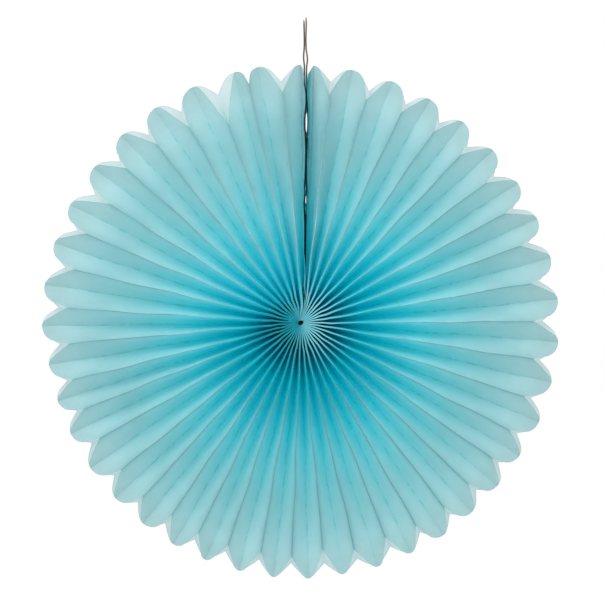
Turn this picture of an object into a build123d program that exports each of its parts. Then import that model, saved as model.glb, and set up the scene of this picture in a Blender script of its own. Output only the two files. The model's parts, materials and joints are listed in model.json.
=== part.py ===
"""Hanging fan rosette of honeycomb tissue paper, opened to a full circle on its string.

Each petal is two tissue leaves, glued to each other along the petal's middle and to the next
petal's leaves along their front and back edges, so that a cut across the petals is a row of
diamond cells. The cells are open at the rim and pinched shut at the hub.
Millimetres, +Z up, front towards -Y, origin on the hub axis at mid-depth.
Angles run clockwise from the top, as seen from the front.
"""

import math
import os

from build123d import *

# Disc
tip_radius = 203.0
hub_depth = 40.0
rim_depth = 27.0
core_radius = 11.0
hub_hole_radius = 1.5

# Leaves
petal_count = 42
leaf_thickness = 0.5
leaf_spans = 3
front_notch = 21.0
back_notch = 12.0
tip_roundness = 0.6
tip_snips = 4
overcut = 0.2

# Spacing of the petals: those at the seam are narrower, and the lower ones hang closer together
seam_angle = 1.2
seam_gap_at_rim = 4.0
seam_gap_at_hub = 1.2
end_petal_share = 0.55
droop = 4.1
droop_at_ends = -0.9

# String, doubled: its middle is caught in the pinched hub and its two ends come out of the seam
string_diameter = 1.2
string_clearance = 0.15
string_seat = 5.0
strand_gap = 0.2
strand_spread = 2.2
left_strand_top = 239.0
right_strand_top = 241.0


def ridge_angle(boundary):
    """Angle of the ridge at a count of whole petals from the seam."""
    turn = 2 * math.pi * boundary / (petal_count - 2 + 2 * end_petal_share)
    return seam_angle + math.degrees(turn) + droop * math.sin(turn) + droop_at_ends * math.sin(2 * turn)


def at(radius, angle, depth=0.0):
    """Point at a radius, an angle from the top and a depth behind the middle of the disc."""
    turn = math.radians(angle)
    return Vector(radius * math.sin(turn), depth, radius * math.cos(turn))


def ridge_depth(radius):
    """Half the disc's depth, which falls in a straight line from the hub's core to the rim."""
    share = (radius - core_radius) / (tip_radius - core_radius)
    return (hub_depth + (rim_depth - hub_depth) * share) / 2


def leaf_inset(half_width, depth):
    """How far half a leaf's thickness shifts a slanted leaf's face, across the petal and in depth."""
    slant = math.hypot(half_width, depth)
    return leaf_thickness / 2 * slant / depth, leaf_thickness / 2 * slant / half_width


def groove_corners(radius, left, middle, right, side):
    """Section of the open valley of one petal: two corners over the ridges and one at the bottom."""
    depth = ridge_depth(radius)
    top = depth + overcut
    corners = []
    for ridge in (left, right):
        half_width = radius * math.radians(abs(ridge - middle))
        across, down = leaf_inset(half_width, depth)
        reach = math.degrees((half_width * top / depth - across) / radius)
        corners.append(at(radius, middle + math.copysign(reach, ridge - middle), side * top))
    corners.insert(1, at(radius, middle, side * down))
    return corners


def cell_corners(radius, left, ridge, right):
    """Section of the diamond cell behind one ridge, between the middles of the petals beside it."""
    depth = ridge_depth(radius)
    insets = []
    for middle in (left, right):
        insets.append(leaf_inset(radius * math.radians(abs(middle - ridge)), depth))
    point = depth - max(down for across, down in insets)
    return [
        at(radius, left + math.degrees(insets[0][0] / radius)),
        at(radius, ridge, -point),
        at(radius, right - math.degrees(insets[1][0] / radius)),
        at(radius, ridge, point),
    ]


def polygon(*corners):
    """Flat face between the corners."""
    return Face(Wire.make_polygon(corners))


def hollow(sections):
    """Solid with flat triangles between the corners of each section and the next.

    A leaf twists from upright at the hub to slanted at the rim. A loft would make each wall a
    twisted face, where flat facets keep the folds crisp.
    """
    faces = []
    for inner, outer in zip(sections, sections[1:]):
        for i in range(len(inner)):
            ends = (i - 1, i)
            low, high = sorted(ends, key=lambda end: abs(inner[end].Y))
            faces.append(polygon(inner[low], inner[high], outer[high]))
            faces.append(polygon(inner[low], outer[high], outer[low]))
    for section in (sections[0], sections[-1]):
        for i in range(2, len(section)):
            faces.append(polygon(section[0], section[i - 1], section[i]))
    return Solid(Shell(faces))


def tapered_disc(sections):
    """Solid with one flat face between each pair of neighbouring corners of a section and the next."""
    faces = [polygon(*sections[0]), polygon(*sections[-1])]
    for inner, outer in zip(sections, sections[1:]):
        for i in range(len(inner)):
            faces.append(polygon(inner[i - 1], inner[i], outer[i], outer[i - 1]))
    return Solid(Shell(faces))


def petal_outline(left, middle, right, notch):
    """Rim of one petal: straight flanks that rise from the notches into a round tip, cut in snips."""
    half_width = tip_radius * math.radians(right - left) / 2
    tip_round = tip_roundness * half_width
    centre = at(tip_radius - tip_round, middle)
    flanks = [at(tip_radius - notch, ridge) - centre for ridge in (left, right)]
    touches = []
    for flank, hand in zip(flanks, (1, -1)):
        swing = math.degrees(math.acos(tip_round / flank.length))
        touches.append(flank.normalized().rotate(Axis.Y, hand * swing) * tip_round)
    snip = touches[0].get_angle(touches[1]) / tip_snips
    tip = [centre + touches[0].rotate(Axis.Y, i * snip) for i in range(tip_snips + 1)]
    Polyline(centre + flanks[0], *tip, centre + flanks[1])


boundaries = [0.0]
for petal in range(petal_count):
    at_seam = petal in (0, petal_count - 1)
    boundaries.append(boundaries[-1] + (end_petal_share if at_seam else 1.0))
ridges = [ridge_angle(boundary) for boundary in boundaries]
middles = [(left + right) / 2 for left, right in zip(ridges, ridges[1:])]

# The leaves part where a petal gets wider than the tissue that fills it
narrowest = math.radians(min(right - left for left, right in zip(ridges, ridges[1:]))) / 2
hollow_start = max(core_radius, leaf_thickness / narrowest)
hollow_end = tip_radius + front_notch
stations = [hollow_start + (hollow_end - hollow_start) * i / leaf_spans for i in range(leaf_spans + 1)]

hollows = []
for left, middle, right in zip(ridges, middles, ridges[1:]):
    for side in (-1, 1):
        hollows.append(hollow([groove_corners(r, left, middle, right, side) for r in stations]))
for left, ridge, right in zip(middles, ridges[1:], middles[1:]):
    hollows.append(hollow([cell_corners(r, left, ridge, right) for r in stations]))
seam_left = middles[-1] - 360
hollows.append(hollow([cell_corners(r, seam_left, ridges[0], middles[0]) for r in stations]))

# Disc with a flat facet along each ridge, deepest at the hub
half_depths = ((core_radius, -hub_depth / 2), (hollow_end, -ridge_depth(hollow_end)))
half_depths += ((hollow_end, ridge_depth(hollow_end)), (core_radius, hub_depth / 2))
envelope = tapered_disc([[at(r, middle, depth) for middle in middles] for r, depth in half_depths])

# Plane of the disc with its y axis along the seam
turn = math.radians(seam_angle)
seam_plane = Plane(origin=(0, 0, 0), x_dir=(math.cos(turn), 0, -math.sin(turn)), z_dir=(0, -1, 0))

# Taut line of each strand, from its seat in the hub to its cut end
strand_lines = {}
for name, hand, top in (("left_strand", -1, left_strand_top), ("right_strand", 1, right_strand_top)):
    with BuildLine(seam_plane) as strand_line:
        Line((hand * (string_diameter + strand_gap) / 2, string_seat), (hand * strand_spread / 2, top))
    strand_lines[name] = strand_line.edge()
    print(name, "length", round(strand_lines[name].length, 1))

with BuildPart() as tissue_fan:
    # Scalloped rim, cut deeper in front than behind
    for notch, depth in ((front_notch, hub_depth / 2), (back_notch, -hub_depth / 2)):
        with BuildSketch(Plane.XZ):
            with BuildLine():
                for left, middle, right in zip(ridges, middles, ridges[1:]):
                    petal_outline(left, middle, right, notch)
            make_face()
        extrude(amount=depth)
    # Thinner towards the rim, with one flat facet along each ridge
    add(envelope, mode=Mode.INTERSECT)
    # Hole left at the hub
    with BuildSketch(Plane.XZ):
        Circle(hub_hole_radius)
    extrude(amount=hub_depth, both=True, mode=Mode.SUBTRACT)
    # Seam, where the first and the last leaf meet unglued, and the room for the strands in it
    with BuildSketch(seam_plane):
        with BuildLine():
            Polyline(
                (-seam_gap_at_hub / 2, hollow_start),
                (-seam_gap_at_rim / 2, hollow_end),
                (seam_gap_at_rim / 2, hollow_end),
                (seam_gap_at_hub / 2, hollow_start),
                close=True,
            )
        make_face()
    extrude(amount=hub_depth, both=True, mode=Mode.SUBTRACT)
    for strand_line in strand_lines.values():
        with BuildSketch(Plane(origin=strand_line @ 0, z_dir=strand_line % 0)):
            Circle(string_diameter / 2 + string_clearance)
        extrude(amount=strand_line.length, mode=Mode.SUBTRACT)
    # Valleys in front and behind, and the cells between the leaves
    add(hollows, mode=Mode.SUBTRACT)
tissue_fan.part.label = "tissue_fan"

os.makedirs("parts", exist_ok=True)
export_step(tissue_fan.part, "parts/tissue_fan.step")

for name, strand_line in strand_lines.items():
    with BuildPart() as strand:
        with BuildSketch(Plane(origin=strand_line @ 0, z_dir=strand_line % 0)):
            Circle(string_diameter / 2)
        extrude(amount=strand_line.length)
    strand.part.label = name
    export_step(strand.part, f"parts/{name}.step")
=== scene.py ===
"""Dresses the honeycomb tissue fan: pleated see-through leaves, twisted twine and a white studio.

Metres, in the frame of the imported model: +Z up, the front towards -Y, the hub at the origin.
Angles run clockwise from the top, as seen from the front.
"""

import json
import math
from collections import namedtuple

import bpy
import numpy as np
from bpy.props import FloatProperty, FloatVectorProperty, IntProperty, PointerProperty
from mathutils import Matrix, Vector


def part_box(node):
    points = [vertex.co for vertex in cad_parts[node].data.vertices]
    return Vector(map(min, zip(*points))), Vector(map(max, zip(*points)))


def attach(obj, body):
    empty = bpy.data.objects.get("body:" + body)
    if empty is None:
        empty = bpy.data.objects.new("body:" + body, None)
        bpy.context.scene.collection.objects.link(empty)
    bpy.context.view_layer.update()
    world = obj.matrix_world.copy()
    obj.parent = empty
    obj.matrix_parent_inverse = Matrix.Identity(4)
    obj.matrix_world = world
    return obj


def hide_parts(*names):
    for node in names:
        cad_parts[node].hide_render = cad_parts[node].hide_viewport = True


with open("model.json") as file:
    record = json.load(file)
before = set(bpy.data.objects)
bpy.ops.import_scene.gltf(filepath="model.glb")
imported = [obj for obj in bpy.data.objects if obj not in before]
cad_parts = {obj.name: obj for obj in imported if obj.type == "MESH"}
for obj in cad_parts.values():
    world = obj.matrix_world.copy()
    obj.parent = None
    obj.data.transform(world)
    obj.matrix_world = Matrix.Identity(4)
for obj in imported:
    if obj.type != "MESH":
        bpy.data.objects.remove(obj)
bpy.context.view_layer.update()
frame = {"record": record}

bl_info = {
    "name": "Tissue Fan Rosette",
    "version": (1, 0, 0),
    "blender": (4, 5, 0),
    "location": "View3D > Sidebar > Fan",
    "description": "Folds a honeycomb tissue fan, hangs it on twine and lights it in a white studio",
    "category": "Object",
}

FAN_LOW, FAN_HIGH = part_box("tissue_fan")
HUB_HOLE = next(mount for mount in frame["record"]["mounts"] if mount["name"] == "hub_hole")
MM = 0.001

# Places across half a petal: 0 on the crease, 1 at the edge of the ridge's strap, 2 on the ridge
HALF_PETAL = (0.0, 0.12, 0.28, 0.44, 0.6, 0.74, 0.86, 0.95, 1.0, 2.0)
LEAF_ROWS = 60
# Rows of the wall of the hub's hole, from mid-depth: share of the height, of the radius
# and of the sideways bend
HOLE_HEIGHT = (0.0, 0.5, 0.8, 0.94, 0.985)
HOLE_WIDTH = (0.15, 0.3, 0.6, 0.85, 0.96)
HOLE_BEND = (1.0, 0.7, 0.3, 0.1, 0.0)
# Ridges that hang away from the even spacing, by number from the seam, in degrees
UNEVEN_RIDGES = {
    1: -0.2, 7: -0.4, 8: -0.6, 9: -0.4, 12: 0.4, 13: 0.6, 28: 0.9, 29: 0.5, 30: -0.7, 31: -0.9,
    32: -1.0, 33: -0.5, 34: -0.4, 35: -0.4, 37: 0.4, 38: 0.7, 39: 1.2, 40: -0.4, 41: -1.9}
# Petals whose crease isn't in the middle: share of the width to its left
UNEVEN_CREASES = {0: 0.29, 39: 0.65, 40: 0.36, 41: 0.76}
# Ridges whose front edge is cut back further, or less, than the others, in metres
FRONT_NOTCHES = {
    0: -0.013, 1: 0.0035, 20: 0.003, 35: 0.005, 37: 0.004, 38: 0.006, 39: 0.018, 40: -0.011, 42: -0.012}
# The same for the back edge
BACK_NOTCHES = {0: -0.005, 42: -0.005}
# Ridge whose two flanks are as full in front as behind, and ridge whose clockwise flank has a sharp tip
FULL_RIDGE = 40
SHARP_RIDGE = 39
# Petals whose tips stand back, in metres
SHORT_TIPS = {0: 0.0006, 41: 0.0006}
# Where the seam gapes from front to back: distance from the hub and half the length, in metres
SEAM_SLITS = ((0.159, 0.011), (0.098, 0.007))
# Sides of the fan: the front towards -Y and the back towards +Y
FRONT = -1.0
BACK = 1.0
# Share of half a petal at the rim that lies outside the ridge's strap
FLANK_SHARE = 0.97
# Slope of the straps across their width
STRAP_LEAN = 0.45
# Turns of the sides of the fan where the straps are painted palest, and where the tissue is painted lighter:
# both painted light
PALE_TURN = math.radians(78.0)
BRIGHTENED_TURN = math.radians(338.0)
# From one dash of glue to the next, and how far the leaves are out of step
DASH_PITCH = 0.0170
DASH_STEP = 0.0137
LEAF_SEED = 42
HUB_SEED = 7

# Routes of the two strands, from their seat in the hub to their cut ends, in millimetres
LEFT_STRAND = (
    (-0.6, 0.0, 5.01),
    (1.9, -1.0, 17.0),
    (2.9, -2.0, 41.0),
    (3.3, -2.0, 65.0),
    (3.2, -2.0, 82.0),
    (2.2, -1.5, 98.0),
    (3.3, -2.0, 112.0),
    (3.9, -2.0, 128.0),
    (3.9, -2.0, 142.0),
    (2.9, -1.5, 158.0),
    (4.1, -2.0, 172.0),
    (4.2, -2.5, 181.0),
    (2.9, -3.0, 188.0),
    (2.8, -2.5, 195.0),
    (2.9, -2.0, 202.0),
    (2.2, -1.2, 207.0),
    (2.2, -0.6, 212.0),
    (2.75, 0.0, 216.5),
    (2.75, 0.0, 227.0),
    (2.4, 0.0, 238.97),
)
RIGHT_STRAND = (
    (0.8, 0.0, 4.98),
    (3.4, 0.4, 17.0),
    (3.6, 0.5, 41.0),
    (3.8, 0.5, 65.0),
    (4.0, 0.5, 82.0),
    (5.1, 0.3, 98.0),
    (4.2, 0.5, 112.0),
    (4.3, 0.5, 128.0),
    (4.6, 0.5, 142.0),
    (5.9, 0.3, 158.0),
    (5.0, 0.5, 172.0),
    (5.0, 0.5, 181.0),
    (4.8, 0.3, 189.0),
    (4.5, 0.0, 195.0),
    (4.5, 0.0, 202.0),
    (5.3, 0.0, 207.0),
    (4.8, 0.0, 212.0),
    (4.0, 0.0, 216.5),
    (4.0, 0.0, 228.0),
    (4.3, 0.0, 234.0),
    (4.1, 0.0, 240.9),
)
# Length over which a cut end narrows, and heights between which the painted shade on the twine fades
TWINE_TAPER = 0.004
SHADE_HEIGHTS = (0.184, 0.200)

FLOOR_SIDES = 96
FLOOR_RINGS = 12
SOFT_BOX_SIZE = 0.7
SENSOR_WIDTH = 36.0

Columns = namedtuple("Columns", "petal ridge hand place at_seam")


class FanShape(bpy.types.PropertyGroup):
    """Sizes of the fan and its string."""

    tip_radius: FloatProperty(
        name="Tip radius", description="From the hub to the petal tips", unit="LENGTH",
        default=(FAN_HIGH.x - FAN_LOW.x) / 2)
    hub_depth: FloatProperty(
        name="Hub depth", description="Front to back at the hub", unit="LENGTH",
        default=FAN_HIGH.y - FAN_LOW.y)
    rim_depth: FloatProperty(
        name="Rim depth", description="Front to back at the petal tips", unit="LENGTH", default=0.027)
    core_radius: FloatProperty(
        name="Core radius", description="Where the pinched leaves begin to part", unit="LENGTH",
        default=0.011)
    hole_radius: FloatProperty(
        name="Hole radius", description="Hole left at the hub", unit="LENGTH",
        default=HUB_HOLE["dims"]["r_mm"] * MM)
    hole_bend: FloatProperty(
        name="Hole bend", description="How far the hole bends aside inside the hub", unit="LENGTH",
        default=0.0022)
    funnel_depth: FloatProperty(
        name="Funnel depth", description="How far the pinched hub lies below the ridges", unit="LENGTH",
        default=0.006)
    petal_count: IntProperty(name="Petals", description="Petals round the fan", default=42, min=8)
    end_petal_share: FloatProperty(
        name="End petal", description="Width of the petals at the seam, beside the others", default=0.55)
    seam_angle: FloatProperty(
        name="Seam angle", description="Turn of the seam from the top", subtype="ANGLE",
        default=math.radians(1.35))
    seam_gap: FloatProperty(
        name="Seam gap", description="Gap between the two end leaves in front", unit="LENGTH", default=0.0036)
    seam_lean: FloatProperty(
        name="Seam lean", description="How far the seam runs beside the hub", unit="LENGTH", default=0.0029)
    seam_overlap: FloatProperty(
        name="Seam overlap", description="How far the back of the seam stands beside the front",
        unit="LENGTH", default=0.003)
    seam_mouth: FloatProperty(
        name="Seam mouth", description="How far the seam moves left at the rim, where the twine comes out",
        unit="LENGTH", default=0.0008)
    even_turn: FloatProperty(
        name="Even turn", description="Turn of all ridges but the seam's", subtype="ANGLE",
        default=math.radians(0.85))
    droop: FloatProperty(
        name="Droop", description="Turn of the side petals towards the bottom", subtype="ANGLE",
        default=math.radians(4.1))
    droop_at_ends: FloatProperty(
        name="Droop at the ends", description="Second wave of that turn", subtype="ANGLE",
        default=math.radians(-0.9))
    front_notch: FloatProperty(
        name="Front notch", description="Depth of the scallops in front", unit="LENGTH", default=0.021)
    back_notch: FloatProperty(
        name="Back notch", description="Depth of the scallops behind", unit="LENGTH", default=0.0114)
    front_roundness: FloatProperty(
        name="Front roundness", description="Radius of the tips in front where the flank is straight, "
        "beside half a petal", default=0.35)
    back_roundness: FloatProperty(
        name="Back roundness", description="Radius of the tips behind, beside half a petal", default=0.8)
    end_roundness: FloatProperty(
        name="End roundness", description="Radius of the tips at the seam, beside half a petal", default=0.15)
    fin_share: FloatProperty(
        name="Fin share", description="Share of the height that the glued fin of a ridge takes", default=0.4)
    strap_width: FloatProperty(
        name="Strap width", description="Glued strip along each ridge, near the hub", unit="LENGTH",
        default=0.00108)
    wrinkle_height: FloatProperty(
        name="Wrinkle height", description="Wrinkles of the leaves near the rim", unit="LENGTH",
        default=0.0005)
    twine_diameter: FloatProperty(
        name="Twine diameter", description="Thickness of one strand", unit="LENGTH", default=0.0012)
    twine_pitch: FloatProperty(
        name="Twine pitch", description="Length of one turn of the plies", unit="LENGTH", default=0.0042)


class FanFinish(bpy.types.PropertyGroup):
    """Colours of the tissue and the twine."""

    rim_tissue: FloatVectorProperty(
        name="Rim tissue", description="Tissue at the petal tips", subtype="COLOR",
        default=(0.53, 0.76, 0.78))
    middle_tissue: FloatVectorProperty(
        name="Middle tissue", description="Tissue half way to the rim", subtype="COLOR",
        default=(0.49, 0.89, 0.94))
    deep_tissue: FloatVectorProperty(
        name="Deep tissue", description="Tissue a quarter of the way out", subtype="COLOR",
        default=(0.012, 0.84, 0.93))
    # Darker near the hub: painted shade where the leaves crowd into the hub
    hub_tissue: FloatVectorProperty(
        name="Hub tissue", description="Tissue near the hub", subtype="COLOR",
        default=(0.015, 0.70, 0.81))
    # Lit and shaded copies of the straps' colour near the hub: painted light on one side of the fan, painted
    # shade on the other
    strap_in_light: FloatVectorProperty(
        name="Pale strap", description="Glued ridge strips near the hub, on the faded side", subtype="COLOR",
        default=(0.22, 0.63, 0.71))
    strap_in_shade: FloatVectorProperty(
        name="Hub strap", description="Glued ridge strips near the hub, on the other side", subtype="COLOR",
        default=(0.015, 0.34, 0.41))
    # Painted shadow along the downward-facing side of each ridge, towards the rim
    ridge_shade_colour: FloatVectorProperty(
        name="Ridge glue", description="Glued edges of the ridges towards the rim", subtype="COLOR",
        default=(0.02, 0.33, 0.39))
    glue: FloatVectorProperty(
        name="Glue", description="Dashes of glue along the creases", subtype="COLOR",
        default=(0.04, 0.62, 0.64))
    cut_edge: FloatVectorProperty(
        name="Cut edge", description="Outer edge of the leaves", subtype="COLOR", default=(0.30, 0.50, 0.49))
    # Painted shade on the end leaves inside the seam
    seam_shade: FloatVectorProperty(
        name="Seam tissue", description="End leaves inside the seam", subtype="COLOR",
        default=(0.006, 0.38, 0.47))
    hole_shade: FloatVectorProperty(
        name="Hole shade", description="Tissue inside the hub's hole", subtype="COLOR",
        default=(0.006, 0.010, 0.012))
    # Painted light: the back leaves' edges, which show in one layer, are painted paler, and so is the light
    # through them
    edge_tissue: FloatVectorProperty(
        name="Edge tissue", description="Edge of the back leaves, which shows in one layer", subtype="COLOR",
        default=(0.69, 0.81, 0.82))
    edge_glow: FloatVectorProperty(
        name="Edge glow", description="Light through that edge", subtype="COLOR", default=(0.75, 0.87, 0.88))
    rim_glow: FloatVectorProperty(
        name="Rim glow", description="Light through the tissue at the rim", subtype="COLOR",
        default=(0.57, 0.83, 0.85))
    deep_glow: FloatVectorProperty(
        name="Deep glow", description="Light through the tissue a quarter of the way out", subtype="COLOR",
        default=(0.012, 0.95, 1.0))
    # Darker near the hub: painted shade where the leaves crowd into the hub
    hub_glow: FloatVectorProperty(
        name="Hub glow", description="Light through the tissue near the hub", subtype="COLOR",
        default=(0.012, 0.85, 0.92))
    # Painted shade in the furrows between the plies
    dark_twine: FloatVectorProperty(
        name="Dark twine", description="Furrows of the twine", subtype="COLOR", default=(0.075, 0.05, 0.032))
    # Painted shade on the twine inside the seam
    twine_in_shade: FloatVectorProperty(
        name="Stained twine", description="Twine stained by the tissue, inside the seam", subtype="COLOR",
        default=(0.006, 0.030, 0.040))
    light_twine: FloatVectorProperty(
        name="Light twine", description="Crowns of the plies", subtype="COLOR", default=(0.20, 0.150, 0.110))


class FanStage(bpy.types.PropertyGroup):
    """Camera, lights and floor."""

    view_width: FloatProperty(
        name="View width", description="Width of the view at the fan", unit="LENGTH", default=0.4773)
    view_right: FloatProperty(
        name="View right", description="Camera's place to the right of the hub", unit="LENGTH",
        default=0.0013)
    view_up: FloatProperty(
        name="View up", description="Camera's height above the hub", unit="LENGTH", default=0.0159)
    camera_distance: FloatProperty(
        name="Camera distance", description="From the camera to the fan", unit="LENGTH", default=2.2)
    floor_drop: FloatProperty(
        name="Floor drop", description="From the hub down to the floor", unit="LENGTH", default=0.34)
    floor_radius: FloatProperty(
        name="Floor radius", description="Size of the round floor", unit="LENGTH", default=0.6)
    key_power: FloatProperty(
        name="Key power", description="Power of the soft box on the left", unit="POWER", default=10.0)
    fill_power: FloatProperty(
        name="Fill power", description="Power of the soft box on the right", unit="POWER", default=5.0)
    sky_strength: FloatProperty(
        name="Sky strength", description="Light from all round the fan", default=1.0)


def smooth(low, high, value):
    """Rises from 0 at low to 1 at high, level at both ends."""
    share = np.clip((value - low) / (high - low), 0.0, 1.0)
    return share * share * (3.0 - 2.0 * share)


def waves(rng, members, index, place, lengths, heights):
    """A sum of sine waves along a place, with phases drawn for each member and picked by index."""
    total = np.zeros(np.broadcast_shapes(index.shape, place.shape))
    for length, height in zip(lengths, heights):
        phase = rng.uniform(0.0, 2.0 * np.pi, members)
        total = total + height * np.sin(2.0 * np.pi * place / length + phase[index])
    return total


def ridge_turns(shape, rng):
    """Angles of the ridges. The end petals are narrower, and two sine waves bring the lower ones closer."""
    widths = np.ones(shape.petal_count)
    widths[[0, -1]] = shape.end_petal_share
    turn = np.concatenate(([0.0], np.cumsum(widths))) * 2.0 * np.pi / widths.sum()
    turns = shape.seam_angle + turn + shape.droop * np.sin(turn) + shape.droop_at_ends * np.sin(2.0 * turn)
    turns[1:-1] += shape.even_turn + rng.normal(0.0, math.radians(0.12), shape.petal_count - 1)
    turns[list(UNEVEN_RIDGES)] += np.radians(list(UNEVEN_RIDGES.values()))
    return turns


def seam_shift(shape, turn, radius, side):
    """How far the leaves near the seam stand to the right of their radial line, most beside the hub.

    The back stands further right than the front, so the seam is closed to the eye but for a few slits.
    """
    away = (turn - shape.seam_angle + np.pi) % (2.0 * np.pi) - np.pi
    settled = smooth(0.004, 0.016, radius)
    shift = shape.seam_lean * settled * (1.0 - radius / shape.tip_radius)
    shift = shift * np.exp(-((away / math.radians(12.0)) ** 2))
    if side == BACK:
        closed = settled * (1.0 - seam_slits(radius)) * (1.0 - smooth(0.180, 0.197, radius))
        shift = shift + shape.seam_overlap * closed * np.exp(-((away / math.radians(3.5)) ** 2))
    return shift


def seam_slits(radius):
    """1 where the seam gapes from front to back and 0 elsewhere."""
    return sum(np.exp(-(((radius - middle) / half) ** 4)) for middle, half in SEAM_SLITS)


def seam_opening(shape, right, radius, side):
    """How far the right or the left end leaf stands off the middle of the seam.

    In front the seam widens from the hub outwards, and both its leaves move left at the rim. Behind it is
    narrow, and a little wider at the slits.
    """
    begun = smooth(0.008, 0.025, radius)
    if side == BACK:
        return shape.seam_gap / 5 * (0.1 * begun + smooth(0.6, 1.0, seam_slits(radius)))
    opening = shape.seam_gap / 2 * (0.25 * begun + 0.75 * smooth(0.030, 0.095, radius))
    opening = opening * np.where(right, 0.75, 1.0)
    return opening + np.where(right, -0.8, 1.0) * shape.seam_mouth * smooth(0.172, 0.190, radius)


def rim_depth_across(across, half_width, notch, roundness):
    """How far the rim stands back from the tip: a round tip with a straight flank down to the notch."""
    round_tip = roundness * half_width
    drop = notch - round_tip
    touch = np.arctan2(drop, half_width) - np.arccos(round_tip / np.hypot(half_width, drop))
    touch_across = round_tip * np.cos(touch)
    touch_depth = round_tip * (1.0 + np.sin(touch))
    arc = round_tip - np.sqrt(np.clip(round_tip**2 - across**2, 0.0, None))
    flank = touch_depth + (notch - touch_depth) * (across - touch_across) / (half_width - touch_across)
    return np.where(across < touch_across, arc, flank)


def crest_height(shape, radius):
    """Height of the ridges over mid-depth: it falls in a line to the rim, with a funnel at the hub."""
    share = np.clip((radius - shape.core_radius) / (shape.tip_radius - shape.core_radius), 0.0, None)
    line = (shape.hub_depth + (shape.rim_depth - shape.hub_depth) * share) / 2
    return line - shape.funnel_depth * np.exp(-((radius / shape.core_radius) ** 2))


def petal_columns(petals):
    """The columns of the grid round the fan.

    Each has its petal, the ridge that it climbs to, its hand, which is -1 before the crease and 1 after it,
    clockwise, its place from the crease to the ridge, and whether that ridge is at the seam.
    """
    half = np.array(HALF_PETAL)
    across = np.concatenate((-half[:0:-1], half))
    petal = np.append(np.repeat(np.arange(petals), len(across) - 1), petals - 1)[:, None]
    place = np.append(np.tile(across[:-1], petals), across[-1])[:, None]
    hand = np.where(place < 0.0, -1, 1)
    ridge = petal + (hand > 0)
    return Columns(petal, ridge, hand, np.abs(place), (ridge == 0) | (ridge == petals))


def crease_turns(turns):
    """Angles of the creases, half way between the ridges but for the uneven ones."""
    share = np.full(len(turns) - 1, 0.5)
    share[list(UNEVEN_CREASES)] = list(UNEVEN_CREASES.values())
    return turns[:-1] + (turns[1:] - turns[:-1]) * share


def tip_roundness(shape, middles, columns, side):
    """Radius of the tips beside half a petal.

    The lowest tips are sharper. In front, the lower half of a petal is as full as the tips behind, and the
    upper half has a straight flank. At the bottom the half before the crease is the full one.
    """
    petal, ridge, hand, _, at_seam = columns
    last_petal = shape.petal_count - 1
    behind = shape.back_roundness * (1.0 - 0.6 * smooth(0.80, 0.95, -np.cos(middles)))[petal]
    if side == BACK:
        roundness = np.where((petal == 0) | (petal == last_petal), 0.5, behind)
    else:
        slope = np.sin(middles) - 0.35 * smooth(0.6, 1.0, -np.cos(middles))
        fullness = 0.5 + 0.5 * hand * np.clip(2.5 * slope, -1.0, 1.0)[petal]
        fullness = np.where(petal == 0, 0.0, np.where(petal == last_petal, 0.1, fullness))
        fullness = np.where(ridge == FULL_RIDGE, 1.0, fullness)
        fullness = np.where((ridge == SHARP_RIDGE) & (hand < 0), -0.65, fullness)
        roundness = shape.front_roundness + (behind - shape.front_roundness) * fullness
    return np.where(at_seam, shape.end_roundness, roundness)


def rim_line(shape, turns, middles, columns, side, rng):
    """Radius at which each column ends: the reach of its petal's tip less the depth of the scallop there.

    The tips at the bottom stand back and those at the upper left reach further. Tips and notches also
    differ by chance.
    """
    petal, ridge, _, place, _ = columns
    lower = smooth(math.radians(113.0), math.radians(119.0), middles)
    upper = smooth(math.radians(261.0), math.radians(267.0), middles)
    reach = 0.0005 - 0.0019 * (lower - upper) + 0.0008 * upper
    reach = reach + rng.normal(0.0, 0.0003, shape.petal_count)
    reach[list(SHORT_TIPS)] -= list(SHORT_TIPS.values())
    notch = shape.front_notch if side == FRONT else shape.back_notch
    own_notches = FRONT_NOTCHES if side == FRONT else BACK_NOTCHES
    notches = notch * (1.0 + np.clip(rng.normal(0.0, 0.06, shape.petal_count + 1), -0.15, 0.15))
    notches[list(own_notches)] += list(own_notches.values())
    half_width = shape.tip_radius * np.abs(turns[ridge] - middles[petal])
    flank = place * FLANK_SHARE
    across = half_width * np.where(place < 1.0, flank, FLANK_SHARE + (place - 1.0) * (1.0 - FLANK_SHARE))
    roundness = tip_roundness(shape, middles, columns, side)
    depth = rim_depth_across(across, half_width, notches[ridge] + reach[petal], roundness)
    return shape.tip_radius + reach[petal] - depth


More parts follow.
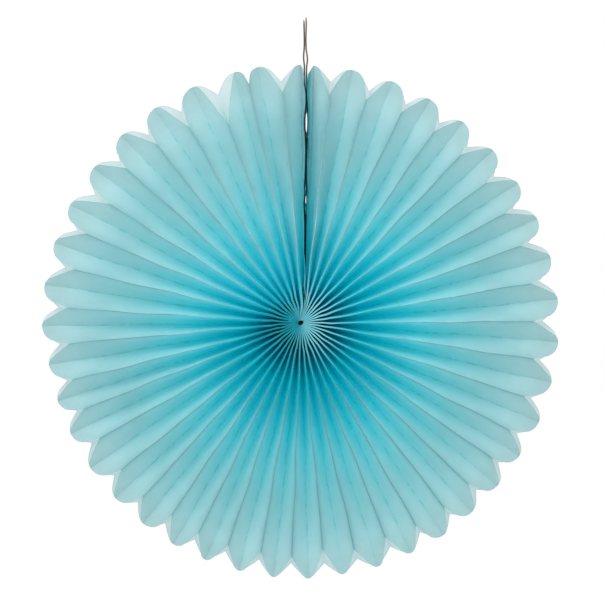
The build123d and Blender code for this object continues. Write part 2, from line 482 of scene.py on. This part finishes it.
def finish_numbers(shape, columns, side, radius, turn, aside):
    """What the tissue's finish reads at each point, beside what fold_sheet adds.

    along and aside are the distances from the hub and from the crease, fold is the place across up to the
    strap and strap is 1 on it. pale rises towards the side of the fan where the straps are painted in light,
    brightened towards the upper left side, where the tissue is painted lighter as painted light, and low
    towards its bottom. edge is 1 on the outer back leaves, which show in one layer and are painted paler as
    painted light, and cover on the front leaves before them. lee is 1 on the upper half of a petal, which
    faces down and takes the painted shadow of the ridge, and seam rises to 1 where the end leaves take
    painted shade inside the seam.
    """
    _, ridge, hand, place, at_seam = columns
    outward = radius / shape.tip_radius
    low = smooth(0.0, 0.7, -np.cos(turn))
    sideways = np.clip(2.5 * np.sin(turn), -1.0, 1.0)
    # Painted shade on the end leaves inside the seam: wide on the right end leaf in front, narrow on the
    # left, and on both behind
    if side == FRONT:
        seam_shadow_mask = np.where(ridge == 0, smooth(0.15, 0.8, place), 0.6 * smooth(0.75, 1.0, place))
    else:
        seam_shadow_mask = smooth(0.2, 0.6, place) * (1.0 - smooth(0.186, 0.199, radius))
    return {
        "along": radius,
        "aside": aside,
        "fold": np.minimum(place, 1.0),
        "strap": (place >= 1.0).astype(float),
        "pale": smooth(-0.9, 0.8, np.cos(turn - PALE_TURN)),
        "faded": smooth(0.1, 1.0, np.cos(turn - BRIGHTENED_TURN)),
        "low": low,
        "edge": smooth(0.80, 0.93, outward) * (1.0 - 0.3 * low) * (side == BACK),
        "cover": smooth(0.70, 0.95, outward) * (side == FRONT),
        "lee": np.clip(0.5 - 0.5 * hand * sideways + 0.25 * low, 0.0, 1.0),
        "seam": at_seam * seam_shadow_mask * smooth(0.02, 0.05, radius),
    }


def fold_sheet(shape, turns, side, rng):
    """One side of the fan, as a grid of columns round the fan and rows from the hub to the rim.

    Across a petal the leaf climbs in a line from the crease at mid-depth, bends up into the glued fin of
    the ridge by a high power of the place across, and ends in a flat strap that leans to one side.
    Near the hub the creases rise to the straps, so the valleys close. Ridges and creases wander a little,
    and waves wrinkle the leaves towards the rim.
    Returns the points and the numbers for the finish, with a chance tone for each leaf, inside, which is 1
    on the wall of the hub's hole, and inset, the distance from the rim.
    """
    petals = shape.petal_count
    columns = petal_columns(petals)
    petal, ridge, hand, place, at_seam = columns
    middles = crease_turns(turns)
    rim = rim_line(shape, turns, middles, columns, side, rng)
    row = np.linspace(0.0, 1.0, LEAF_ROWS)[None, :]
    hole = shape.hole_radius * (1.3 + 0.2 * np.cos(2.0 * (middles[petal] - math.radians(65.0))))
    radius = hole + (rim - hole) * (0.3 * row + 0.7 * row**2)

    # Lines of the ridges and creases; behind, the two leaves of the seam wander as one
    settled = smooth(0.006, 0.030, radius)
    beside_hub = np.exp(-(((radius - 0.019) / 0.009) ** 2))
    drawn = ridge % petals if side == BACK else ridge
    wander = settled * waves(rng, petals + 1, drawn, radius, (0.047, 0.083), (0.00022, 0.0003))
    wander = wander + beside_hub * waves(
        rng, petals + 1, drawn, radius, (0.013, 0.021), (0.00014, 0.00024))
    wander = wander + at_seam * settled * waves(rng, petals + 1, drawn, radius, (0.03,), (0.0003,))
    gap = at_seam * np.where(ridge == 0, 1.0, -1.0) * seam_opening(shape, ridge == 0, radius, side)
    crease_wander = settled * waves(rng, petals, petal, radius, (0.06, 0.11), (0.0002, 0.0003))
    ridge_at = turns[ridge] + (wander + gap + seam_shift(shape, turns[ridge], radius, side)) / radius
    crease_at = middles[petal] + (crease_wander + seam_shift(shape, middles[petal], radius, side)) / radius

    # Place across and height
    hub_rng = np.random.default_rng(HUB_SEED)
    width = radius * np.abs(ridge_at - crease_at)
    uneven = hub_rng.uniform(0.78, 1.28, petals + 1)[ridge]
    strap = shape.strap_width / 2 * uneven * (1.0 - 0.66 * smooth(0.012, 0.050, radius))
    strap = np.minimum(strap, 0.62 * width)
    on_strap = place >= 1.0
    aside = np.where(on_strap, width - (2.0 - place) * strap, place * (width - strap))
    turn = crease_at + (ridge_at - crease_at) * aside / width
    crest = crest_height(shape, radius)
    parting = hub_rng.uniform(0.005, 0.009, petals)[petal]
    crease_height = (crest - 0.0009) * (1.0 - smooth(parting, parting + 0.0105, radius))
    strap_height = crest - hand * (2.0 - place) * strap * STRAP_LEAN
    strap_edge = crest - hand * strap * STRAP_LEAN
    fin = shape.fin_share * smooth(0.030, 0.110, radius) * (1.0 - 0.5 * smooth(0.140, 0.200, radius))
    climb = (1.0 - fin) * place + fin * place**7
    height = np.where(on_strap, strap_height, crease_height + (strap_edge - crease_height) * climb)
    leaf = 2 * petal + (hand > 0)
    swell = smooth(0.05, 0.15, radius) * np.sin(np.pi * np.clip(place, 0.0, 1.0))
    slant = radius + hand * aside * 0.8
    wrinkle = waves(rng, 2 * petals, leaf, slant, (0.011, 0.019, 0.037), (0.22, 0.45, 0.8))
    height = height + shape.wrinkle_height * swell * wrinkle

    # Wall of the hole at the hub, ahead of the rows: it narrows and bends aside towards mid-depth
    still = np.ones(len(HOLE_BEND))
    height = np.concatenate((height[:, :1] * HOLE_HEIGHT, height), axis=1)
    radius = np.concatenate((radius[:, :1] * HOLE_WIDTH, radius), axis=1)
    turn = np.concatenate((turn[:, :1] * still, turn), axis=1)
    aside = np.concatenate((aside[:, :1] * still, aside), axis=1)
    bend = np.concatenate((np.array(HOLE_BEND), np.zeros(LEAF_ROWS))) * shape.hole_bend

    points = np.stack((radius * np.sin(turn) + bend, side * height, radius * np.cos(turn)), axis=-1)
    numbers = finish_numbers(shape, columns, side, radius, turn, aside)
    numbers["tone"] = rng.uniform(-1.0, 1.0, 2 * petals)[leaf]
    numbers["inside"] = np.concatenate((still, np.zeros(LEAF_ROWS)))
    numbers["inset"] = rim - radius
    return points, {key: np.broadcast_to(value, radius.shape) for key, value in numbers.items()}


def grid_faces(columns, rows, start, flip):
    """Corner numbers of the squares of a grid whose points are counted column by column."""
    column, row = np.meshgrid(np.arange(columns - 1), np.arange(rows - 1), indexing="ij")
    first = (start + column * rows + row).ravel()
    corners = (first, first + rows, first + rows + 1, first + 1)
    return np.stack(corners[::-1] if flip else corners, axis=-1)


def twine(path, diameter, pitch, taper, sides=18, plies=3):
    """A tube along the path with a lobed section that turns once in each pitch, closed at both ends.

    The radius swings between a furrow and a crown as the cosine of the plies times the angle, less the turn,
    and narrows towards the cut end.
    """
    step = np.gradient(path, axis=0)
    tangent = step / np.linalg.norm(step, axis=1)[:, None]
    length = np.concatenate(([0.0], np.cumsum(np.linalg.norm(np.diff(path, axis=0), axis=1))))
    side = np.cross(tangent, (0.0, 1.0, 0.0))
    side = side / np.linalg.norm(side, axis=1)[:, None]
    front = np.cross(side, tangent)
    angle = np.linspace(0.0, 2.0 * np.pi, sides, endpoint=False)[None, :]
    lobe = np.abs(np.cos(plies / 2 * (angle - 2.0 * np.pi * length[:, None] / pitch)))
    end = 1.0 - 0.45 * smooth(length[-1] - taper, length[-1], length)[:, None]
    radius = diameter / 2 * end * (0.94 + 0.13 * lobe)
    ring = np.cos(angle)[..., None] * side[:, None, :] + np.sin(angle)[..., None] * front[:, None, :]
    points = path[:, None, :] + radius[..., None] * ring
    rings = np.arange(len(path) - 1)[:, None] * sides
    column = np.arange(sides)[None, :]
    beside = (column + 1) % sides
    corners = (rings + column, rings + sides + column, rings + sides + beside, rings + beside)
    walls = np.stack(corners, axis=-1).reshape(-1, 4)
    first_end = list(range(sides))
    last_end = list(range(len(path) * sides - 1, (len(path) - 1) * sides - 1, -1))
    faces = [*walls.tolist(), first_end, last_end]
    return points.reshape(-1, 3), faces, np.broadcast_to(lobe, radius.shape).ravel()


def new_piece(name, points, faces, attributes, material):
    """A shaded mesh object at the origin, with one number at each point for every attribute."""
    mesh = bpy.data.meshes.new(name)
    mesh.from_pydata(points, [], faces)
    for key, values in attributes.items():
        mesh.attributes.new(key, "FLOAT", "POINT").data.foreach_set("value", values.astype(np.float32))
    mesh.polygons.foreach_set("use_smooth", np.ones(len(mesh.polygons), bool))
    mesh.set_sharp_from_angle(angle=math.radians(40.0))
    mesh.materials.append(material)
    mesh.validate()
    mesh.update()
    piece = bpy.data.objects.new(name, mesh)
    bpy.context.scene.collection.objects.link(piece)
    return piece


class Socket:
    """An output of a shader node. Arithmetic on it adds Math nodes."""

    def __init__(self, finish, output):
        self.finish = finish
        self.output = output

    def maths(self, operation, *values):
        """A Math node on numbers or sockets."""
        return self.finish.node("ShaderNodeMath", {"operation": operation}, dict(enumerate(values)))

    def __add__(self, other):
        return self.maths("ADD", self, other)

    __radd__ = __add__

    def __sub__(self, other):
        return self.maths("SUBTRACT", self, other)

    def __rsub__(self, other):
        return self.maths("SUBTRACT", other, self)

    def __mul__(self, other):
        return self.maths("MULTIPLY", self, other)

    __rmul__ = __mul__

    def __truediv__(self, other):
        return self.maths("DIVIDE", self, other)

    def __rtruediv__(self, other):
        return self.maths("DIVIDE", other, self)

    def __abs__(self):
        return self.maths("ABSOLUTE", self)

    def fraction(self):
        """What is left after the whole turns."""
        return self.maths("FRACT", self)

    def rise(self, low, high):
        """0 below low, 1 above high and smooth between."""
        settings = {"interpolation_type": "SMOOTHSTEP"}
        return self.finish.node("ShaderNodeMapRange", settings, {0: self, 1: low, 2: high})


class Finish:
    """A material, or the world, whose nodes are made by one method."""

    def __init__(self, owner):
        self.owner = owner
        owner.use_nodes = True
        self.tree = owner.node_tree
        self.tree.nodes.clear()

    def node(self, kind, settings, inputs, out=0):
        """Adds a node, sets its settings, then its inputs' values or links. Returns an output, if any."""
        made = self.tree.nodes.new(kind)
        for key, value in settings.items():
            if key == "stops":
                ramp = made.color_ramp.elements
                while len(ramp) < len(value):
                    ramp.new(0.5)
                for element, (position, colour) in zip(ramp, value):
                    element.position = position
                    element.color = (*colour, 1.0)
            else:
                setattr(made, key, value)
        for key, value in inputs.items():
            if isinstance(value, Socket):
                self.tree.links.new(value.output, made.inputs[key])
            elif isinstance(made.inputs[key].default_value, (int, float)):
                made.inputs[key].default_value = value
            else:
                size = len(made.inputs[key].default_value)
                made.inputs[key].default_value = (*value, 1.0)[:size]
        return Socket(self, made.outputs[out]) if made.outputs else None

    def attribute(self, name):
        """A number that the mesh holds at each point."""
        return self.node("ShaderNodeAttribute", {"attribute_name": name}, {}, out=2)

    def place(self):
        """Object coordinates."""
        return self.node("ShaderNodeTexCoord", {}, {}, out=3)

    def noise(self, place, scale, detail=3.0, roughness=0.55):
        """Soft noise about one half."""
        inputs = {"Vector": place, "Scale": scale, "Detail": detail, "Roughness": roughness}
        return self.node("ShaderNodeTexNoise", {}, inputs)

    def stretched(self, place, scales):
        """The place with each axis scaled by itself."""
        return self.node("ShaderNodeMapping", {}, {"Vector": place, "Scale": scales})

    def blend(self, share, first, second, way="MIX"):
        """A mix of two colours."""
        settings = {"data_type": "RGBA", "blend_type": way}
        return self.node("ShaderNodeMix", settings, {0: share, 6: first, 7: second}, out=2)

    def ramp(self, share, stops):
        """A colour picked along stops."""
        return self.node("ShaderNodeValToRGB", {"stops": stops}, {0: share})

    def shine(self, colour, roughness, normal, specular):
        """A Principled surface."""
        inputs = {
            "Base Color": colour, "Roughness": roughness, "Normal": normal, "Specular IOR Level": specular}
        return self.node("ShaderNodeBsdfPrincipled", {}, inputs)

    def glow(self, colour):
        """Light that comes through from behind."""
        return self.node("ShaderNodeBsdfTranslucent", {}, {"Color": colour})

    def mixed(self, share, first, second):
        """Two shaders in one."""
        return self.node("ShaderNodeMixShader", {}, {0: share, 1: first, 2: second})

    def bump(self, height, strength, distance):
        """A normal bent by a height."""
        inputs = {"Height": height, "Strength": strength, "Distance": distance}
        return self.node("ShaderNodeBump", {}, inputs)

    def end(self, surface, kind="ShaderNodeOutputMaterial"):
        """Links the surface to the output."""
        self.node(kind, {}, {"Surface": surface})
        return self.owner


def tissue_finish(look, shape):
    """Thin matt tissue: paler and more see-through at the rim, mottled, with glue dashes on the creases.

    Distances along and aside are in metres.
    """
    finish = Finish(bpy.data.materials.new("tissue"))
    place = finish.place()
    along = finish.attribute("along")
    aside = finish.attribute("aside")
    fold = finish.attribute("fold")
    strap = finish.attribute("strap")
    tone = finish.attribute("tone")
    edge = finish.attribute("edge")
    faded = finish.attribute("faded")
    pale = finish.attribute("pale")
    low = finish.attribute("low")
    seam = finish.attribute("seam")

    # Colour from the hub to the rim, darker near the hub as painted shade
    # Painted light: on the upper left side the tissue shifts towards the paler rim colours
    outward = along / shape.tip_radius + faded * 0.11
    # Painted light on the ridges: near them the tissue takes the paler colours of the rim
    tissue = finish.ramp(outward + fold * fold * outward.rise(0.15, 0.4) * 0.09, (
        (0.0, look.hub_tissue), (0.15, look.hub_tissue), (0.25, look.deep_tissue),
        (0.53, look.middle_tissue), (0.98, look.rim_tissue)))
    # Painted light: the back leaves' edges are painted paler
    tissue = finish.blend(edge, tissue, look.edge_tissue)

    # Mottle and fibres, with painted shade on the walls near the ridges
    mottle = finish.noise(place, 70.0, 4.0)
    fibre = finish.noise(place, 900.0, 2.0)
    fold_shade = fold * fold * fold * along.rise(0.03, 0.09) * (1.0 - edge)
    inner_fold_shade = fold * fold * along.rise(0.022, 0.036) * (1.0 - along.rise(0.054, 0.096))
    shade = 1.06 + (mottle - 0.5) * 0.28 + (fibre - 0.5) * 0.10 + tone * 0.03 - fold_shade * 0.12 - inner_fold_shade * 0.27
    # Painted light: the upper left side is painted lighter, most near the hub
    shade = shade + faded * (0.06 + 0.07 * (1.0 - along.rise(0.030, 0.080)))
    # Painted shade: the leaves darken towards the tips, but for the back leaves' edges, more on the upper
    # left side
    shade = shade - (0.27 + 0.06 * faded) * (along / shape.tip_radius).rise(0.86, 1.0) * (1.0 - edge)
    grey = finish.node("ShaderNodeCombineColor", {}, {0: shade, 1: shade, 2: shade})
    tissue = finish.blend(1.0, tissue, grey, "MULTIPLY")

    # Straps near the hub in painted light on one side and painted shade on the other, and painted shadow
    # along the ridges further out
    lowered = along + low * 0.032
    painted_strap_reach = 1.0 - lowered.rise(0.050, 0.085)
    strap_light_share = pale + (1.0 - pale) * along.rise(0.030, 0.060)
    strap_light_and_shade = finish.blend(strap_light_share, look.strap_in_shade, look.strap_in_light)
    tissue = finish.blend(strap * painted_strap_reach, tissue, strap_light_and_shade)
    # Painted shadow on the half of each ridge that faces down, with a softer, wider band into the wall,
    # stronger at the bottom
    ridge_shadow = fold.rise(0.92, 1.0) * 0.78 + fold.rise(0.70, 1.0) * 0.22
    ridge_shadow = ridge_shadow * finish.attribute("lee") * lowered.rise(0.065, 0.105) * (1.0 - edge)
    tissue = finish.blend(ridge_shadow * (0.68 + 0.14 * low), tissue, look.ridge_shade_colour)

    # Dashes of glue along the creases
    dash_place = ((along + tone * DASH_STEP) / DASH_PITCH).fraction()
    dashes = dash_place.rise(0.30, 0.48) * (1.0 - dash_place.rise(0.90, 1.0))
    ragged = finish.noise(place, 260.0, 2.0)
    dashes = dashes * (1.0 - (abs(aside) + (ragged - 0.5) * 0.0012).rise(0.0005, 0.0011))
    dashes = dashes * along.rise(0.06, 0.09) * (1.0 - along.rise(0.165, 0.19)) * ragged.rise(0.34, 0.56)
    tissue = finish.blend(dashes * 0.7, tissue, look.glue)

    # Painted shade inside the seam and in the hub's hole, and the cut edge
    tissue = finish.blend(seam, tissue, look.seam_shade)
    cut = 1.0 - finish.attribute("inset").rise(0.0003, 0.0010)
    tissue = finish.blend(cut * 0.75, tissue, look.cut_edge)
    tissue = finish.blend(finish.attribute("inside"), tissue, look.hole_shade)

    # The sheet, and the light through it
    normal = finish.bump(mottle * 0.6 + fibre * 0.12, 0.35, 0.0008)
    sheet = finish.shine(tissue, 0.72 + (fibre - 0.5) * 0.2, normal, 0.2)
    # Light through the tissue: darker near the hub as painted shade, paler towards the ridges and on the back
    # leaves' edges as painted light
    glow = finish.mixed(outward.rise(0.12, 0.24), finish.glow(look.hub_glow), finish.glow(look.deep_glow))
    glow = finish.mixed((outward + fold * fold * 0.1).rise(0.2, 0.85), glow, finish.glow(look.rim_glow))
    glow = finish.mixed(edge, glow, finish.glow(look.edge_glow))
    thin = 1.0 - 0.6 * fold * fold * fold * (1.0 - outward.rise(0.72, 0.88))
    thin = thin * (1.0 - 0.2 * dashes) * (1.0 - 0.5 * ridge_shadow) * (1.0 - 0.85 * seam) * (1.0 - 0.5 * cut)
    share = 0.15 + 0.55 * along.rise(0.012, 0.036) - 0.22 * finish.attribute("cover")
    return finish.end(finish.mixed(share * thin, sheet, glow))


def twine_finish(look):
    """Dull brown twine, with painted shade in the furrows between the plies and inside the seam, and short
    streaks of fibre.
    """
    finish = Finish(bpy.data.materials.new("twine"))
    place = finish.place()
    crown = finish.attribute("crown")
    fibre = finish.noise(finish.stretched(place, (1.0, 1.0, 0.15)), 5200.0, 3.0)
    patch = finish.noise(place, 240.0, 2.0)
    # The crowns' share paints the furrows darker as shade, with fibre and patches as the twine's own tone
    share = crown * 0.65 + (fibre - 0.5) * 0.8 + (patch - 0.5) * 0.5
    colour = finish.ramp(share, ((0.05, look.dark_twine), (0.75, look.light_twine)))
    # Painted shade on the twine inside the seam
    colour = finish.blend(finish.attribute("stained") * 0.7, colour, look.twine_in_shade)
    normal = finish.bump(fibre, 0.5, 0.0001)
    return finish.end(finish.shine(colour, 0.78 + (fibre - 0.5) * 0.2, normal, 0.25))


def floor_finish():
    """Pale matt board with a faint tone."""
    finish = Finish(bpy.data.materials.new("floor"))
    tone = finish.noise(finish.place(), 6.0)
    colour = finish.ramp(tone, ((0.3, (0.86, 0.87, 0.87)), (0.7, (0.90, 0.90, 0.90))))
    normal = finish.bump(finish.noise(finish.place(), 300.0), 0.05, 0.0005)
    return finish.end(finish.shine(colour, 0.8 + (tone - 0.5) * 0.1, normal, 0.2))


def route_line(points):
    """Points along the NURBS spline that has the route's points as its control points."""
    curve = bpy.data.curves.new("route", "CURVE")
    curve.dimensions = "3D"
    curve.resolution_u = 48
    spline = curve.splines.new("NURBS")
    spline.points.add(len(points) - 1)
    spline.points.foreach_set("co", np.c_[points, np.ones(len(points))].ravel())
    spline.order_u = 3
    spline.use_endpoint_u = True
    route = bpy.data.objects.new("route", curve)
    line = bpy.data.meshes.new_from_object(route)
    path = np.empty(len(line.vertices) * 3)
    line.vertices.foreach_get("co", path)
    bpy.data.objects.remove(route)
    bpy.data.meshes.remove(line)
    return path.reshape(-1, 3)


class FAN_OT_leaves(bpy.types.Operator):
    """Fold the front and the back of the tissue fan"""

    bl_idname = "fan.leaves"
    bl_label = "Fold Tissue Leaves"

    def execute(self, context):
        shape = context.scene.fan_shape
        rng = np.random.default_rng(LEAF_SEED)
        turns = ridge_turns(shape, rng)
        sheets = [fold_sheet(shape, turns, side, rng) for side in (FRONT, BACK)]
        columns, rows = sheets[0][0].shape[:2]
        faces = np.concatenate((
            grid_faces(columns, rows, 0, flip=False),
            grid_faces(columns, rows, columns * rows, flip=True)))
        points = np.concatenate([sheet.reshape(-1, 3) for sheet, _ in sheets])
        front_numbers, back_numbers = (numbers for _, numbers in sheets)
        numbers = {
            key: np.concatenate((front_numbers[key].ravel(), back_numbers[key].ravel()))
            for key in front_numbers}
        finish = tissue_finish(context.scene.fan_finish, shape)
        leaves = new_piece("tissue_leaves", points, faces, numbers, finish)
        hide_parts("tissue_fan")
        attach(leaves, "root")
        return {"FINISHED"}


class FAN_OT_twine(bpy.types.Operator):
    """Lay the two strands of twine along their routes"""

    bl_idname = "fan.twine"
    bl_label = "Lay Twine"

    def execute(self, context):
        shape = context.scene.fan_shape
        material = twine_finish(context.scene.fan_finish)
        # The left strand is drawn darker and the right one lighter
        for node, route, crown_shift in (("left_strand", LEFT_STRAND, -0.25), ("right_strand", RIGHT_STRAND, 0.3)):
            path = route_line(np.array(route) * MM)
            points, faces, crown = twine(path, shape.twine_diameter, shape.twine_pitch, TWINE_TAPER)
            # Painted shade on the twine below the top of the seam
            stained = 1.0 - smooth(*SHADE_HEIGHTS, points[:, 2])
            numbers = {"crown": crown + crown_shift, "stained": stained}
            strand = new_piece(node.replace("strand", "twine"), points, faces, numbers, material)
            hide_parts(node)
            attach(strand, "root")
        return {"FINISHED"}


class FAN_OT_stage(bpy.types.Operator):
    """Set the floor, the lights and the camera"""

    bl_idname = "fan.stage"
    bl_label = "Set Stage"

    def execute(self, context):
        scene = context.scene
        stage = scene.fan_stage
        scene.view_settings.view_transform = "Standard"

        angle = np.linspace(0.0, 2.0 * np.pi, FLOOR_SIDES + 1)[:, None]
        radius = np.linspace(0.0, stage.floor_radius, FLOOR_RINGS + 1)[1:][None, :]
        height = np.full((FLOOR_SIDES + 1, FLOOR_RINGS), -stage.floor_drop)
        disc = np.stack((radius * np.sin(angle), radius * np.cos(angle), height), axis=-1)
        faces = grid_faces(FLOOR_SIDES + 1, FLOOR_RINGS, 0, flip=False).tolist()
        centre = (np.arange(FLOOR_SIDES) * FLOOR_RINGS).tolist()
        floor = new_piece("floor", disc.reshape(-1, 3), faces + [centre], {}, floor_finish())

        world = bpy.data.worlds.new("studio")
        scene.world = world
        sky = Finish(world)
        direction = sky.node("ShaderNodeTexCoord", {}, {}, out=0)
        up = sky.node("ShaderNodeSeparateXYZ", {}, {0: direction}, out=2)
        seen = sky.node("ShaderNodeLightPath", {}, {}, out=0)
        behind = sky.node("ShaderNodeSeparateXYZ", {}, {0: direction}, out=1)
        light = (0.70 + up * 0.2 + behind * 0.32) * stage.sky_strength
        strength = seen + (1.0 - seen) * light
        white = sky.node("ShaderNodeBackground", {}, {0: (1.0, 1.0, 1.0), 1: strength})
        sky.end(white, "ShaderNodeOutputWorld")

        soft_boxes = (
            ("left_box", stage.key_power, (-0.62, -1.1, 1.0)),
            ("right_box", stage.fill_power, (0.5, -1.1, 1.05)))
        for name, power, spot in soft_boxes:
            lamp = bpy.data.lights.new(name, "AREA")
            lamp.shape = "DISK"
            lamp.size = SOFT_BOX_SIZE
            lamp.energy = power
            soft_box = bpy.data.objects.new(name, lamp)
            soft_box.location = spot
            soft_box.rotation_euler = (-soft_box.location).to_track_quat("-Z", "Y").to_euler()
            scene.collection.objects.link(soft_box)

        lens = bpy.data.cameras.new("camera")
        lens.sensor_width = SENSOR_WIDTH
        lens.lens = SENSOR_WIDTH * stage.camera_distance / stage.view_width
        camera = bpy.data.objects.new("camera", lens)
        camera.location = (stage.view_right, -stage.camera_distance, stage.view_up)
        camera.rotation_euler = Vector((0.0, 1.0, 0.0)).to_track_quat("-Z", "Y").to_euler()
        scene.collection.objects.link(camera)
        scene.camera = camera
        return {"FINISHED"}


class FAN_PT_panel(bpy.types.Panel):
    """Sizes, colours and steps of the fan"""

    bl_idname = "FAN_PT_panel"
    bl_label = "Tissue Fan"
    bl_space_type = "VIEW_3D"
    bl_region_type = "UI"
    bl_category = "Fan"

    def draw(self, context):
        for group in (context.scene.fan_shape, context.scene.fan_finish, context.scene.fan_stage):
            box = self.layout.box()
            for name in group.bl_rna.properties.keys():
                if name not in ("rna_type", "name"):
                    box.prop(group, name)
        for operator in OPERATORS:
            self.layout.operator(operator.bl_idname)


GROUPS = (FanShape, FanFinish, FanStage)
OPERATORS = (FAN_OT_stage, FAN_OT_twine, FAN_OT_leaves)


def register():
    """Registers the classes and gives the scene its settings."""
    for cls in (*GROUPS, *OPERATORS, FAN_PT_panel):
        bpy.utils.register_class(cls)
    bpy.types.Scene.fan_shape = PointerProperty(type=FanShape)
    bpy.types.Scene.fan_finish = PointerProperty(type=FanFinish)
    bpy.types.Scene.fan_stage = PointerProperty(type=FanStage)


def unregister():
    """Takes the settings and the classes away again."""
    del bpy.types.Scene.fan_stage
    del bpy.types.Scene.fan_finish
    del bpy.types.Scene.fan_shape
    for cls in reversed((*GROUPS, *OPERATORS, FAN_PT_panel)):
        bpy.utils.unregister_class(cls)


def main():
    """Registers the classes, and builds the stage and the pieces."""
    register()
    bpy.ops.fan.stage()
    bpy.ops.fan.twine()
    bpy.ops.fan.leaves()


if __name__ == "__main__":
    main()
